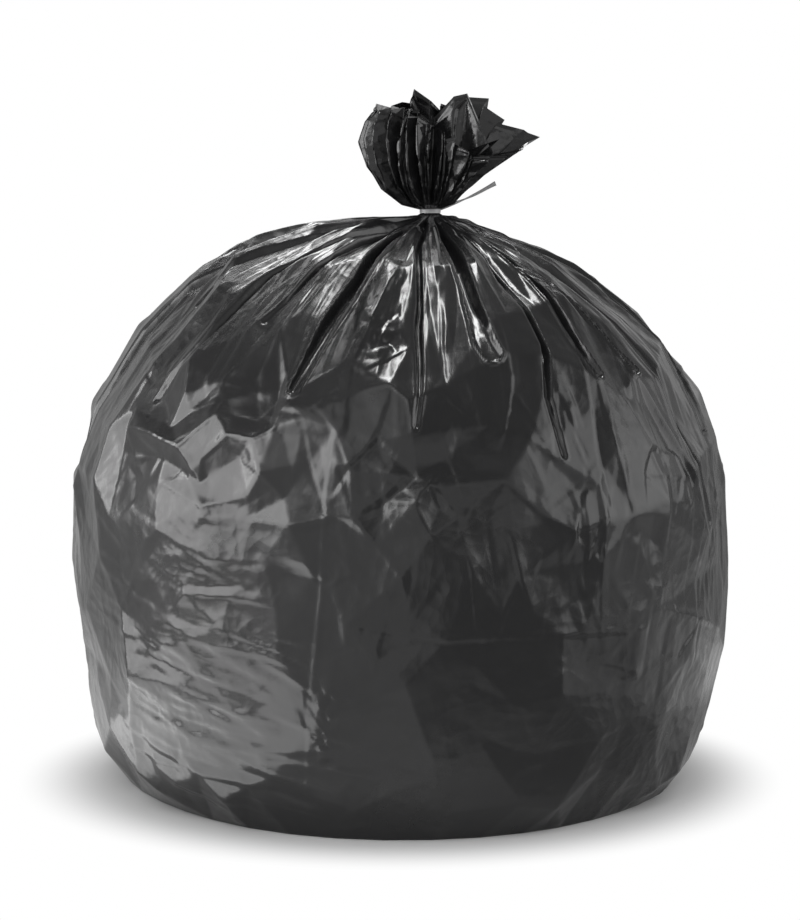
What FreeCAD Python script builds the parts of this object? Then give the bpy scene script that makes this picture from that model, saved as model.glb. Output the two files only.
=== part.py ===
import FreeCAD, Part

import math
import os

# A filled refuse sack, gathered at the neck and closed with a one-piece strap tie.
# The film is one solid. Fold lines run up it from the floor to the open mouth, with ruled panels of film
# between them. Above the neck the loose mouth stands open as a ruffle with a wall of bunched film.
# Millimetres, +Z up. The origin is the middle of the base, on the floor. The front faces -Y.

Vector = FreeCAD.Vector

# The sack: the film laid flat, and how it stands when it is filled.
flat_width = 838.0
base_radius = 231.0
girth_height = 232.0
crown_height = 461.8
crown_radius = 13.0
shoulder_roundness = 1.84
shoulder_shift = 6.0
girth_radius = flat_width / math.pi
# Where the side leans in over the floor: bearing, how far it spreads, and how much.
base_tucks = ((-68.0, 46.0, 15.0), (50.0, 28.0, 6.0), (150.0, 40.0, 7.0), (232.0, 24.0, 6.0))

# Where the film stands out from the even shape: bearing, height, spread in degrees and in height, how much.
swells = ((-90.0, 215.0, 30.0, 120.0, 2.0), (-88.0, 305.0, 16.0, 40.0, 4.0), (84.0, 190.0, 32.0, 110.0, 2.0))
# The crumple below the left shoulder, in the same form: its ridges, and the hollows between them.
crumple = (
    (-59.0, 342.0, 4.0, 22.0, 6.0), (-47.0, 306.0, 4.5, 12.0, 6.0), (-41.0, 326.0, 4.5, 12.0, 6.0),
    (-52.0, 326.0, 3.5, 16.0, -5.0), (-43.0, 280.0, 5.0, 12.0, 4.0), (-60.0, 270.0, 3.5, 32.0, -4.0),
    (-28.0, 310.0, 4.0, 14.0, 5.0), (-33.0, 288.0, 4.0, 12.0, -3.0),
)

# The gathers: each valley's bearing in degrees from the front, round the neck, and the height of its tip.
valleys = (
    (-79, 300), (-55, 325), (-38, 372), (-25, 334), (-13.5, 358), (-3, 308), (11.5, 357), (24.5, 289),
    (36.5, 343), (48, 343), (60, 224), (78, 300), (98, 256), (119, 322), (141, 272), (164, 336),
    (187, 262), (210, 318), (233, 276), (257, 330),
)
valley_depth = 24.0
valley_share = 0.44
shoulder_share = 0.3
narrow_gap = 16.0
side_points = 5
shoulder_points = 12
wide_lobe = ((0.2, shoulder_share), (0.5, 0.0), (0.8, shoulder_share))
narrow_lobe = ((0.3, 0.0), (0.7, 0.0))

# The neck, and the strap tie round it.
neck_offset = 24.6
neck_radius = 7.1
neck_margin = 2.6
lean_radius = 80.0
strap_width = 4.8
strap_thickness = 1.2
strap_clearance = 0.3
track_width = 2.6
track_depth = 0.3
head_length = 8.4
head_depth = 4.6
head_height = 5.6
head_round = 0.8
tail_length = 58.0
tail_rise = 21.5
tail_swing = 6.0
tail_sag = 0.04
tail_roll = (0.0, 62.0, 92.0, 112.0, 134.0)

# The ruffle above the tie: the loose mouth of the sack.
ruffle_height = 89.0
ruffle_reach = 54.6
ruffle_lean = 4.0
ruffle_wall = 2.0
ruffle_turn = 135.0
ruffle_valley = 0.5
ruffle_crease = 0.26
hollow_depth = 63.0
hollow_radius = 9.0
ruffle_steps = (0.1, 0.22, 0.38, 0.55, 0.72, 0.87, 1.0)
# How the mouth's edge varies: bearing, how far it spreads, extra reach, extra rise, extra steepness.
mouth_lobes = (
    (101.0, 13.0, 42.0, -26.0, 0.5), (62.0, 22.0, -4.0, -24.0, 0.5), (131.0, 13.0, 14.0, 5.0, 0.6),
    (158.0, 10.0, -6.0, 4.0, 0.2), (196.0, 16.0, -8.0, 2.0, 0.0), (8.0, 30.0, -12.0, -22.0, 0.2),
    (-32.0, 14.0, -10.0, -12.0, 0.0), (-78.0, 34.0, 0.0, -12.0, 0.0), (230.0, 16.0, -12.0, -6.0, 0.0),
)

neck_bottom = crown_height + neck_margin
strap_bottom = neck_bottom + strap_clearance
neck_top = strap_bottom + strap_width + strap_clearance
rim_height = neck_top + ruffle_height


def smooth(share):
    """A soft step from 0 to 1."""
    held = min(1.0, max(0.0, share))
    return held * held * (3.0 - 2.0 * held)


def near(bearing, middle, spread):
    """How strongly a feature at a middle bearing acts at another: 1 there, fading over the spread."""
    away = (bearing - middle + 180) % 360 - 180
    return math.exp(-((away / spread) ** 2))


def side_profile(count):
    """The swollen side as (height, share of the bulge), from the floor up to the girth."""
    turns = [math.pi / 2 * i / count for i in range(count + 1)]
    return [(girth_height * (1 - math.cos(t)), math.sin(t)) for t in turns]


def dome_profile(count):
    """The shoulder as (height, radius), from above the girth to the crown: part of a superellipse."""
    rise = crown_height - girth_height
    power = 2.0 / shoulder_roundness
    last = math.acos((crown_radius / girth_radius) ** (1 / power))
    turns = [last * i / count for i in range(1, count + 1)]
    top = math.sin(last) ** power
    return [
        (girth_height + rise * math.sin(t) ** power / top, girth_radius * math.cos(t) ** power)
        for t in turns
    ]


def fold_lines():
    """Every fold line as (bearing, depth share, start height of its valley, depth share in the ruffle)."""
    lines = []
    for index, (bearing, start) in enumerate(valleys):
        after, after_start = valleys[(index + 1) % len(valleys)]
        gap = (after - bearing) % 360
        lines.append((bearing, 1.0, start, ruffle_valley))
        if gap < narrow_gap:
            lobe, creases = narrow_lobe, (0.0, ruffle_crease)
        else:
            lobe, creases = wide_lobe, (0.0, ruffle_crease, 0.06)
        for (place, share), crease in zip(lobe, creases):
            lines.append((bearing + place * gap, share, start if place <= 0.5 else after_start, crease))
    return lines


def fold_point(line, height, radius):
    """A point on one fold line, which runs straight out from the neck when it is seen from above."""
    bearing, share, start, _ = line
    grown = smooth((height - start) / (crown_height - start) * 2.2)
    swollen = radius + sum(
        amount * near(bearing, middle, spread) * math.exp(-(((height - level) / rise) ** 2))
        for middle, level, spread, rise, amount in swells + crumple
    )
    reach = swollen - min(valley_depth * grown, valley_share * radius) * share
    turn = math.radians(bearing)
    gathered = smooth((lean_radius - radius) / (lean_radius - crown_radius))
    sunk = smooth((girth_radius - radius) / lean_radius)
    centre = neck_offset * gathered - shoulder_shift * sunk * (1 - gathered)
    aside = neck_offset - centre
    along = aside * math.sin(turn)
    out = math.sqrt(along ** 2 - aside ** 2 + reach ** 2) - along
    return Vector(neck_offset + out * math.sin(turn), -out * math.cos(turn), height)


def body_line(line):
    """The points of one fold line from the floor to the crown."""
    tuck = sum(deep * near(line[0], middle, spread) for middle, spread, deep in base_tucks)
    foot = base_radius - tuck
    side = [(height, foot + (girth_radius - foot) * share) for height, share in side_profile(side_points)]
    return [fold_point(line, height, radius) for height, radius in side + dome_profile(shoulder_points)]


def neck_point(line, height):
    """A point of the bunched film in the neck."""
    bearing, share, _, _ = line
    turn = math.radians(bearing)
    reach = neck_radius * (1 - 0.5 * valley_share * share)
    return Vector(neck_offset + reach * math.sin(turn), -reach * math.cos(turn), height)


def ruffle_point(line, up, inset):
    """A point of the ruffle, from up = 0 at the neck to 1 at the mouth's edge, set in by a wall."""
    bearing, _, _, crease = line
    out = rise = steep = 0.0
    for middle, spread, reach, lift, lean in mouth_lobes:
        pull = near(bearing, middle, spread)
        out += reach * pull
        rise += lift * pull
        steep += lean * pull
    swing = math.radians(ruffle_turn) * up
    level = (1 - math.cos(swing)) / (1 - math.cos(math.radians(ruffle_turn)))
    full = neck_radius + (ruffle_reach - neck_radius) * math.sin(swing) ** (0.95 + steep) + out * up ** 3
    reach = full * (1 - crease * smooth(0.35 + up * 1.8)) - inset
    turn = math.radians(bearing)
    middle = neck_offset + ruffle_lean * up
    height = neck_top + (ruffle_height + rise) * level
    return Vector(middle + reach * math.sin(turn), -reach * math.cos(turn), height)


def hollow_point(line):
    """A point round the floor of the hollow inside the ruffle."""
    turn = math.radians(line[0])
    out = Vector(hollow_radius * math.sin(turn), -hollow_radius * math.cos(turn), 0)
    return Vector(neck_offset, 0, rim_height - hollow_depth) + out


def spline(points):
    """One smooth edge through points."""
    curve = Part.BSplineCurve()
    curve.interpolate(points)
    return curve.toShape()


def panels(edges):
    """Smooth panels of film between each fold line and the next, all the way round."""
    return [Part.makeRuledSurface(edge, edges[(i + 1) % len(edges)]) for i, edge in enumerate(edges)]


def creased(rings):
    """Flat facets of creased film between each ring of points and the next."""
    faces = []
    for lower, upper in zip(rings, rings[1:]):
        for i, point in enumerate(lower):
            after = (i + 1) % len(lower)
            faces.append(ring_face([point, lower[after], upper[after]]))
            faces.append(ring_face([point, upper[after], upper[i]]))
    return faces


def ring_face(points):
    """A flat face inside a ring of points."""
    return Part.Face(Part.makePolygon(points + points[:1]))


def make_bag():
    """The film from the floor to the mouth's edge and down inside the ruffle, closed to one solid."""
    lines = fold_lines()
    bodies = [body_line(line) for line in lines]
    rings = [[body[-1] for body in bodies]]
    rings += [[neck_point(line, height) for line in lines] for height in (neck_bottom, neck_top)]
    rings += [[ruffle_point(line, up, 0.0) for line in lines] for up in ruffle_steps]
    rings.append([ruffle_point(line, 1.0, ruffle_wall) for line in lines])
    rings.append([hollow_point(line) for line in lines])
    faces = panels([spline(body) for body in bodies]) + creased(rings)
    faces += [ring_face([body[0] for body in bodies]), ring_face(rings[-1])]
    shell = Part.Shell(faces)
    shell.sewShape()
    solid = Part.Solid(shell)
    if solid.Volume < 0:
        solid.reverse()
    return solid


def strap_section(middle, along, roll):
    """The strap's outline across its length: a flat bar with the recessed track of its teeth."""
    along = Vector(along).normalize()
    flat = Vector(0, 0, 1).cross(along).normalize()
    upright = along.cross(flat)
    turn = math.radians(roll)
    wide = upright * math.cos(turn) + flat * math.sin(turn)
    thick = along.cross(wide)
    half, track = strap_width / 2, track_width / 2
    front, back = strap_thickness / 2, -strap_thickness / 2
    corners = (
        (-half, back), (half, back), (half, front), (track, front),
        (track, front - track_depth), (-track, front - track_depth), (-track, front), (-half, front),
    )
    points = [middle + wide * across + thick * out for across, out in corners]
    return Part.makePolygon(points + points[:1])


def make_tie():
    """The strap tie as one moulding: its loop round the neck, its head behind, and its twisted tail."""
    inner = neck_radius + strap_clearance
    outer = inner + strap_thickness
    axis = Vector(neck_offset, 0, strap_bottom)
    loop = Part.makeCylinder(outer, strap_width, axis).cut(Part.makeCylinder(inner, strap_width, axis))
    centre = strap_bottom + strap_width / 2
    head = Part.makeBox(
        head_length, head_depth, head_height,
        Vector(neck_offset - head_length / 2, inner + strap_thickness / 2, centre - head_height / 2),
    )
    head = head.makeFillet(head_round, head.Edges)
    start = Vector(neck_offset + head_length / 4, inner + strap_thickness / 2 + head_depth / 2, centre)
    reach = math.sqrt(tail_length ** 2 - tail_rise ** 2)
    end = Vector(neck_offset + reach, start.y + tail_swing, centre + tail_rise)
    steps = len(tail_roll) - 1
    sag = Vector(0, 0, -tail_sag * tail_length)
    shares = [i / steps for i in range(steps + 1)]
    places = [start + (end - start) * share + sag * math.sin(math.pi * share) for share in shares]
    sections = []
    for i, roll in enumerate(tail_roll):
        along = places[min(i + 1, steps)] - places[max(i - 1, 0)]
        sections.append(strap_section(places[i], along, roll))
    tail = Part.makeLoft(sections, True, False)
    return loop.fuse([head, tail]).removeSplitter()


def main():
    """Writes one STEP file for each piece."""
    os.makedirs("parts", exist_ok=True)
    for name, shape in (("bag", make_bag()), ("tie", make_tie())):
        shape.exportStep("parts/" + name + ".step")
        box = shape.BoundBox
        print(name, len(shape.Solids), shape.isValid(), round(shape.Volume / 1e6, 3), "l",
              [round(v, 1) for v in (box.XMin, box.YMin, box.ZMin, box.XMax, box.YMax, box.ZMax)])


main()
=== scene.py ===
"""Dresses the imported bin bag: creased black film, a ruffled mouth and a strap tie, in a plain studio.

Shapes are worked out in millimetres in the frame's axes, and every mesh is written in metres.
A bearing is an angle round the neck's axis in degrees: 0 faces the camera (-Y) and 90 faces +X.
A run is a distance up along the film, measured from the foot. A lift is a distance out from the film.
"""

import logging
import math
from dataclasses import dataclass
from enum import Enum
from typing import ClassVar

import bpy
import numpy as np
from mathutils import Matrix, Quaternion, Vector
from mathutils.geometry import delaunay_2d_cdt


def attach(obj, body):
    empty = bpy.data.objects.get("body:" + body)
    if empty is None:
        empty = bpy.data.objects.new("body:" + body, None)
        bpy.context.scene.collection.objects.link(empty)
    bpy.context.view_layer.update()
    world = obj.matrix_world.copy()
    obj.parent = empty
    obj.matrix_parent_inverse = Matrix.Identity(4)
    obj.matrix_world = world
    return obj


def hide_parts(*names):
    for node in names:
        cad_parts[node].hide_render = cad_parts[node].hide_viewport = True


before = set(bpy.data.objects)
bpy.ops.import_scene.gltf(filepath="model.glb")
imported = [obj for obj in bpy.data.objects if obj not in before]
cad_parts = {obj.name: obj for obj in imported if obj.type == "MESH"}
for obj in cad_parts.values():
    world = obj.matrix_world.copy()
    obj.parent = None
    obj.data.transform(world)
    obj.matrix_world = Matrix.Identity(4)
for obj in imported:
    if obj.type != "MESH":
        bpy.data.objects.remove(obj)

Array = np.ndarray
Span = tuple[float, float]
Path = tuple[Span, ...]
Edge = tuple[tuple[float, float, float], ...]
Point = tuple[float, float, float]
Colour = tuple[float, float, float, float]

MM = 0.001
# The width of the bag when it is flat and empty, and the place of the neck's axis.
FLAT_WIDTH = 838.0
NECK_X = 24.6
# Millimetres of film to a degree of bearing, near the girth.
GIRTH_DEGREE = 4.6
WHITE: Colour = (1.0, 1.0, 1.0, 1.0)

log = logging.getLogger("bin_bag")


def smooth(share: Array) -> Array:
    """Returns a soft step from 0 to 1 of the share."""
    held = np.clip(share, 0.0, 1.0)
    return held * held * (3.0 - 2.0 * held)


def grown(value: Array, span: Span) -> Array:
    """Returns a soft step that begins at the span's first number and is whole its second further on."""
    return smooth((value - span[0]) / span[1])


def bump_at(value: Array, middle: float, spread: float) -> Array:
    """Returns 1 at the middle, fading to 0 over the spread."""
    return np.exp(-(((value - middle) / spread) ** 2))


def turned(bearing: Array, middle: float) -> Array:
    """Returns how far a bearing is from the middle, the short way round, in degrees."""
    return (bearing - middle + 180.0) % 360.0 - 180.0


def around_neck(out: Array, turn: Array, height: Array) -> Array:
    """Returns points at a distance out from the neck's axis, at turns in radians, as rows of x, y, z."""
    return np.stack([NECK_X + out * np.sin(turn), -out * np.cos(turn), height], axis=-1)


def outward(grid: Array) -> Array:
    """Works out which way a film faces.

    Args:
        grid: The film's points, as closed rings x points of a ring x 3.

    Returns:
        The outward unit normal at each point.
    """
    around = np.roll(grid, -1, axis=1) - np.roll(grid, 1, axis=1)
    made = np.cross(around, np.gradient(grid, axis=0))
    return made / np.maximum(np.linalg.norm(made, axis=-1, keepdims=True), 1e-9)


def film_mesh(name: str, grid: Array, first: int, count: int, cap: bool) -> bpy.types.Object:
    """Makes a mesh of some columns of a closed grid of rings, shaded as the whole grid is.

    Args:
        name: The piece's name.
        grid: Points in millimetres, as rings x points of a ring x 3.
        first: The first column that the mesh takes.
        count: How many strips of faces the mesh takes from there.
        cap: True to close the first ring with a fan round its middle.

    Returns:
        The new object, in the scene.
    """
    whole = count == grid.shape[1]
    columns = (first + np.arange(count + (not whole))) % grid.shape[1]
    normals = outward(grid)[:, columns].reshape(-1, 3)
    points = grid[:, columns]
    index = np.arange(points.shape[0] * len(columns)).reshape(points.shape[:2])
    here, after = (index, np.roll(index, -1, axis=1)) if whole else (index[:, :-1], index[:, 1:])
    faces = np.stack([here[:-1], after[:-1], after[1:], here[1:]], axis=-1).reshape(-1, 4).tolist()
    points = points.reshape(-1, 3)
    if cap:
        points = np.vstack([points, grid[0].mean(axis=0)])
        normals = np.vstack([normals, (0.0, 0.0, -1.0)])
        hub = len(points) - 1
        faces += [(hub, int(b), int(a)) for a, b in zip(here[0], after[0])]
    mesh = bpy.data.meshes.new(name)
    mesh.from_pydata((points * MM).tolist(), [], faces)
    mesh.shade_smooth()
    mesh.update()
    mesh.normals_split_custom_set_from_vertices(normals.tolist())
    made = bpy.data.objects.new(name, mesh)
    bpy.context.scene.collection.objects.link(made)
    return made


class CreaseKind(Enum):
    """How the film stands beside a crease."""

    RIDGE = "crest with a gentle and a steep flank"
    LAP = "step where the film laps over itself"


class GatherKind(Enum):
    """How a gather of the film ends."""

    POCKET = "open fold with a round bright lip"
    SLIT = "closed fold with a sharp tip"


@dataclass(frozen=True)
class Crease:
    """A crease in the film along a path of (bearing, height)."""

    path: Path
    width: float
    lift: float
    kind: CreaseKind = CreaseKind.RIDGE


@dataclass(frozen=True)
class CreaseForm:
    """The cross-section of a crease. Its flanks and laps are in widths of the crease."""

    crest_round: float = 0.6
    end_power: float = 0.6
    gentle_flank: float = 5.0
    steep_flank: float = 1.3
    lap_over: float = 2.5
    lap_under: float = 0.8
    lap_dip: float = 0.3
    lap_blend: float = 1.1
    reach: float = 7.0

    def lift(self, crease: Crease, distance: Array, side: Array, share: Array) -> Array:
        """Works out how far the film stands out along a crease.

        Args:
            crease: The crease.
            distance: Each point's distance from the crease's path.
            side: The side of the path that the point is on, -1 or 1.
            share: The point's share along the path.

        Returns:
            The lift at each point, which runs out to nothing at the crease's ends.
        """
        taper = np.clip(4 * share * (1 - share), 0.0, 1.0) ** self.end_power
        distance = np.maximum(np.hypot(distance, self.crest_round) - self.crest_round, 0.0)
        if crease.kind is CreaseKind.RIDGE:
            flank = np.where(side > 0, self.gentle_flank, self.steep_flank) * crease.width
            form = np.maximum(1.0 - distance / flank, 0.0)
        else:
            over = np.exp(-distance / (self.lap_over * crease.width))
            under = -self.lap_dip * np.exp(-distance / (self.lap_under * crease.width))
            share_over = 0.5 + 0.5 * np.tanh(side * distance / self.lap_blend)
            form = over * share_over + under * (1 - share_over)
        return crease.lift * taper * form


@dataclass(frozen=True)
class Gather:
    """A deep fold that runs from the neck to its tip along a path of (bearing, height)."""

    path: Path
    width: float
    depth: float
    kind: GatherKind = GatherKind.SLIT
    lip: float = 1.0


@dataclass(frozen=True)
class GatherForm:
    """The cross-section of a gather: a slot with lips, in a broad one-sided valley.

    A rate says how soon a part of the form is complete, from the neck or from the tip. Near the neck the
    gathers crowd, so each is kept to a share of the distance out from the neck's axis.
    """

    neck_width: float = 0.25
    width_rate: float = 1.3
    crowded_half: float = 0.03
    least_half: float = 0.4
    pocket_wall: float = 0.7
    slit_wall: float = 0.9
    slot_share: float = 0.75
    crowded_depth: float = 0.1
    tip_depth: float = 0.35
    tip_rate: float = 3.2
    lip_gap: float = 1.6
    lip_width: float = 1.2
    lip_rate: float = 2.6
    valley_reach: float = 16.0
    valley_widths: float = 0.6
    valley_behind: float = 0.3
    valley_rate: float = 1.6
    valley_share: float = 0.45

    def section(
        self, gather: Gather, distance: Array, side: Array, share: Array, out: Array
    ) -> tuple[Array, Array]:
        """Works out one gather.

        Args:
            gather: The gather.
            distance: Each point's distance from the gather's path.
            side: The side of the path that the point is on, -1 or 1.
            share: The point's share along the path, from the neck.
            out: The point's distance out from the neck's axis.

        Returns:
            How deep each point sinks into the gather, and how far the gather's lips stand out.
        """
        width = gather.width * (self.neck_width + (1 - self.neck_width) * smooth(share * self.width_rate))
        half = np.minimum(0.5 * width, self.crowded_half * out + self.least_half)
        wall = self.pocket_wall if gather.kind is GatherKind.POCKET else self.slit_wall
        inside = 1.0 / (1.0 + np.exp(np.clip((distance - half) / wall, -30, 30)))
        near_tip = self.tip_depth + (1 - self.tip_depth) * smooth((1.0 - share) * self.tip_rate)
        depth = np.minimum(self.slot_share * gather.depth, self.crowded_depth * out) * near_tip
        beside = bump_at(distance - half, self.lip_gap, self.lip_width)
        lips = gather.lip * beside * smooth(share * self.lip_rate)
        reach = self.valley_reach + self.valley_widths * gather.width
        reach = np.minimum(reach, self.crowded_depth * out + 1)
        reach = reach * np.where(side > 0, 1.0, self.valley_behind)
        valley = np.maximum(1.0 - distance / reach, 0.0) * smooth((1.0 - share) * self.valley_rate)
        return depth * inside + self.valley_share * depth * valley, lips


@dataclass(frozen=True)
class WrinkleField:
    """Fine wrinkles scattered over a part of the film, most of them at one slope."""

    bearings: Span
    heights: Span
    slope: float
    slope_spread: float
    lengths: Span
    lifts: Span
    count: int

    kink: ClassVar[float] = 0.12
    raised_share: ClassVar[float] = 0.75
    lapped_share: ClassVar[float] = 0.3
    widths: ClassVar[Span] = (1.8, 3.8)

    def creases(self, chance: np.random.Generator) -> list[Crease]:
        """Lays out the field's wrinkles.

        Args:
            chance: The source of their places and sizes.

        Returns:
            The wrinkles, each with one slight kink.
        """
        made = []
        for _ in range(self.count):
            bearing, height = chance.uniform(*self.bearings), chance.uniform(*self.heights)
            tilt = math.atan(chance.normal(self.slope, self.slope_spread))
            half = 0.5 * chance.uniform(*self.lengths)
            across, up = half * math.cos(tilt) / GIRTH_DEGREE, half * math.sin(tilt)
            kink = chance.uniform(-self.kink, self.kink) * half
            path = (
                (bearing - across, height - up),
                (bearing + kink * math.sin(tilt) / GIRTH_DEGREE, height - kink * math.cos(tilt)),
                (bearing + across, height + up),
            )
            lift = chance.uniform(*self.lifts) * (1 if chance.random() < self.raised_share else -1)
            kind = CreaseKind.LAP if chance.random() < self.lapped_share else CreaseKind.RIDGE
            made.append(Crease(path, chance.uniform(*self.widths), lift, kind))
        return made


@dataclass(frozen=True)
class Swell:
    """A broad rise of the filled shape."""

    bearing: float
    height: float
    spread: float
    rise_spread: float
    amount: float


@dataclass(frozen=True)
class FootTuck:
    """A stretch of the foot where the film is drawn in under the bag."""

    bearing: float
    spread: float
    depth: float


SWELLS = (
    Swell(-94, 18, 24, 40, 3),
    Swell(-88, 445, 60, 30, 4),
    Swell(80, 425, 60, 75, 5),
)
FOOT_TUCKS = (
    FootTuck(-62, 32, 15),
    FootTuck(50, 28, 6),
    FootTuck(150, 40, 7),
    FootTuck(232, 24, 6),
)

FRONT_GATHERS = (
    Gather(((-70, 455), (-79, 405), (-80, 330), (-80, 262)), 5, 10),
    Gather(((-58, 455), (-64, 428), (-66, 395)), 4, 7, lip=0.3),
    Gather(((-36, 455), (-48.5, 419), (-51.5, 367), (-55.5, 325)), 4, 8, lip=0.3),
    Gather(((-30, 455), (-37, 415), (-39, 388)), 4, 8),
    Gather(((-18, 457), (-21, 430), (-24, 384), (-25, 351), (-25.5, 338)), 7, 9, GatherKind.POCKET, 3.0),
    Gather(((-4, 458), (-4, 430), (-3, 381), (-2.5, 333), (-3, 312)), 2.8, 8, lip=0.7),
    Gather(((9, 457), (10, 438), (10.5, 402), (12, 372), (13, 363)), 12, 10, GatherKind.POCKET, 2.6),
    Gather(((23, 457), (24.5, 441), (26.5, 408), (26, 369), (23.5, 330), (23.5, 290)), 4, 10, lip=0.8),
    Gather(((32, 457), (34, 437), (35.5, 411), (35.5, 367), (37, 345)), 6, 12, GatherKind.POCKET, 2.4),
    Gather(((36, 455), (38, 428), (44, 410), (46.5, 373), (49, 345)), 7, 12, GatherKind.POCKET, 2.4),
    Gather(((50, 455), (52.5, 439), (59, 398), (57, 345), (59, 283), (65, 224)), 5, 9, lip=0.7),
)
# Where the gathers of the back end, as (bearing, height).
BACK_TIPS: Path = (
    (78, 296), (92, 262), (103, 345), (119, 322), (141, 262), (155, 372), (168, 336),
    (190, 290), (199, 352), (214, 318), (233, 250), (246, 360), (257, 330),
)

# The main creases, as points of (bearing, height, lift). The film is drawn flat between them.
# The crumple on the upper left: a zigzag of ridges and valleys, and the folds that run out of it.
CRUMPLE_EDGES: tuple[Edge, ...] = (
    ((-62, 350, 0), (-58.5, 340, -1), (-48, 309, 0), (-45, 320, 0), (-38, 331, 1)),
    ((-50, 354, 5), (-47, 330, 4), (-48, 309, 0)),
    ((-60, 318, 0), (-48, 309, 0)),
    ((-58.5, 303, 5), (-52, 300, 6), (-44, 292, 8), (-38.5, 318, 5)),
    ((-58.5, 303, 5), (-48, 284, -2), (-39.5, 270, -3)),
    ((-44, 292, 8), (-39.5, 270, -3)),
    ((-39.5, 270, -3), (-39.5, 286, 2), (-35, 304, 4), (-30.5, 302, 4), (-27, 310, 5), (-25.5, 332, 3)),
    ((-36, 320, -1), (-31, 318, -2), (-28, 332, -1)),
    ((-41, 342, -1), (-33, 338, -2)),
    ((-48, 268, 0), (-38, 252, 1), (-30, 262, 1)),
    ((-61.5, 306, -3), (-60.5, 284, -6), (-60, 231, -1)),
    ((-65, 300, 4), (-66, 260, 3)),
    ((-33, 290, -4), (-28, 278, 4), (-24, 262, -2)),
    ((-22, 318, 4), (-20, 290, -2), (-16.5, 249, -3), (-22.5, 242, 2), (-30, 246, -1)),
    ((-16.5, 312, 3), (-13.5, 285, 2), (-12.5, 250, 1)),
)
# The slack film on the lower left, in long folds that slope down towards the gusset's line.
LOW_LEFT_EDGES: tuple[Edge, ...] = (
    ((-47.5, 232, 1.4), (-37, 212, 0.9), (-27, 214, -0.5)),
    ((-52, 212, -0.9), (-42, 192, -0.9), (-30, 197, 0.5)),
    ((-41.5, 185, 1.1), (-33, 186, 0.5), (-25, 181, 0.9)),
    ((-45.5, 168, -0.9), (-35, 160, 1.1), (-25, 148, 0.5), (-16.5, 132, 0.7)),
    ((-42, 149, 1.4), (-32, 146, 0.9), (-23.5, 139, 1.1)),
    ((-50, 132, -0.9), (-38, 122, -0.9), (-26, 108, 0.0)),
    ((-45.5, 112, 1.4), (-32, 95, 1.1), (-25, 92, 0.0)),
    ((-48, 90, -0.5), (-36, 82, -0.9), (-27, 78, 0.5)),
    ((-42.5, 69, 1.4), (-29, 67, 1.1)),
    ((-46, 56, -0.9), (-36, 54, -0.9), (-27, 50, 0.0)),
    ((-42.5, 44, 1.4), (-32, 40, 1.4)),
)
# The middle of the front: folds across it, a star of small folds, and upright ones under the gathers.
MIDDLE_EDGES: tuple[Edge, ...] = (
    ((-15.5, 283, 2), (-2.5, 278, 1), (12, 274, 2)),
    ((-13.5, 172, 1), (2, 158, 1.5), (22, 157, 1), (39.5, 152, 1.5)),
    ((-8, 262, -3), (-3, 259, 6), (-0.5, 274, 3), (1.5, 255, -2), (-0.5, 237, 3), (-3, 259, 6)),
    ((-9, 228, -2), (-5, 205, 4), (-4, 180, 1)),
    ((3.5, 250, 2), (6, 210, 3), (7, 164, 0)),
    ((9, 250, -2), (10.5, 205, -2.5), (11, 175, 0)),
    ((12.5, 235, 2), (14, 205, 2), (16.5, 177, 0)),
    ((20, 245, 1), (24, 235, 3), (30, 242, 2), (27.5, 219, -1)),
)
# The bright folds of the crown, left of the middle gather.
CROWN_EDGES: tuple[Edge, ...] = (
    ((-13.5, 352, 2), (-9, 362, -2), (-5, 371, -2)),
    ((-13, 338, 3), (-8, 341, 6), (-4.5, 330, 6), (-3.5, 306, 5)),
    ((-12.5, 413, 2), (-14, 388, 3), (-15.5, 362, 2)),
    ((-10, 424, 1), (-10, 388, -2), (-12, 360, 0)),
)
# The upright folds on the right, which hang from the gathers, and two across them.
RIGHT_EDGES: tuple[Edge, ...] = (
    ((36, 342, 2), (34.5, 292, 3), (37, 243, 1)),
    ((33, 320, -3), (32, 280, -3), (33, 240, 0)),
    ((29.5, 269, 1), (29.5, 212, 2.5), (30, 157, 0)),
    ((26.5, 262, -2), (27, 212, -2), (27, 170, 0)),
    ((48.5, 340, 2), (55.5, 268, 5), (62.5, 217, 1)),
    ((41, 330, 1), (44, 290, 4), (47, 250, 1)),
    ((50, 318, -4), (52, 284, -3), (55, 240, -1)),
    ((41, 272, 1), (56, 263, 2)),
    ((43.5, 168, 1), (58, 152, 2), (73.5, 136, 1)),
)
# The corners of film at the foot, and the folds that make the outline of the two sides.
SIDE_EDGES: tuple[Edge, ...] = (
    ((-68, 60, 2), (-60, 30, 3), (-55, 18, 2)),
    (
        (-90, 40, 3), (-90, 110, 2), (-90, 180, 6), (-90, 250, 4),
        (-89, 310, 4), (-88, 370, 7), (-86, 415, 9),
    ),
    ((-86, 415, 9), (-84, 440, 7), (-82, 452, 4)),
    (
        (86, 40, 2), (86, 110, 6), (86, 180, 4), (86, 250, 2),
        (85, 320, 4), (84, 380, 5), (82, 420, 4), (82, 445, 3),
    ),
    ((61.5, 25, 3), (52, 18, 2)),
)
PLACED_EDGES = CRUMPLE_EDGES + LOW_LEFT_EDGES + MIDDLE_EDGES + CROWN_EDGES + RIGHT_EDGES + SIDE_EDGES

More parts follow.
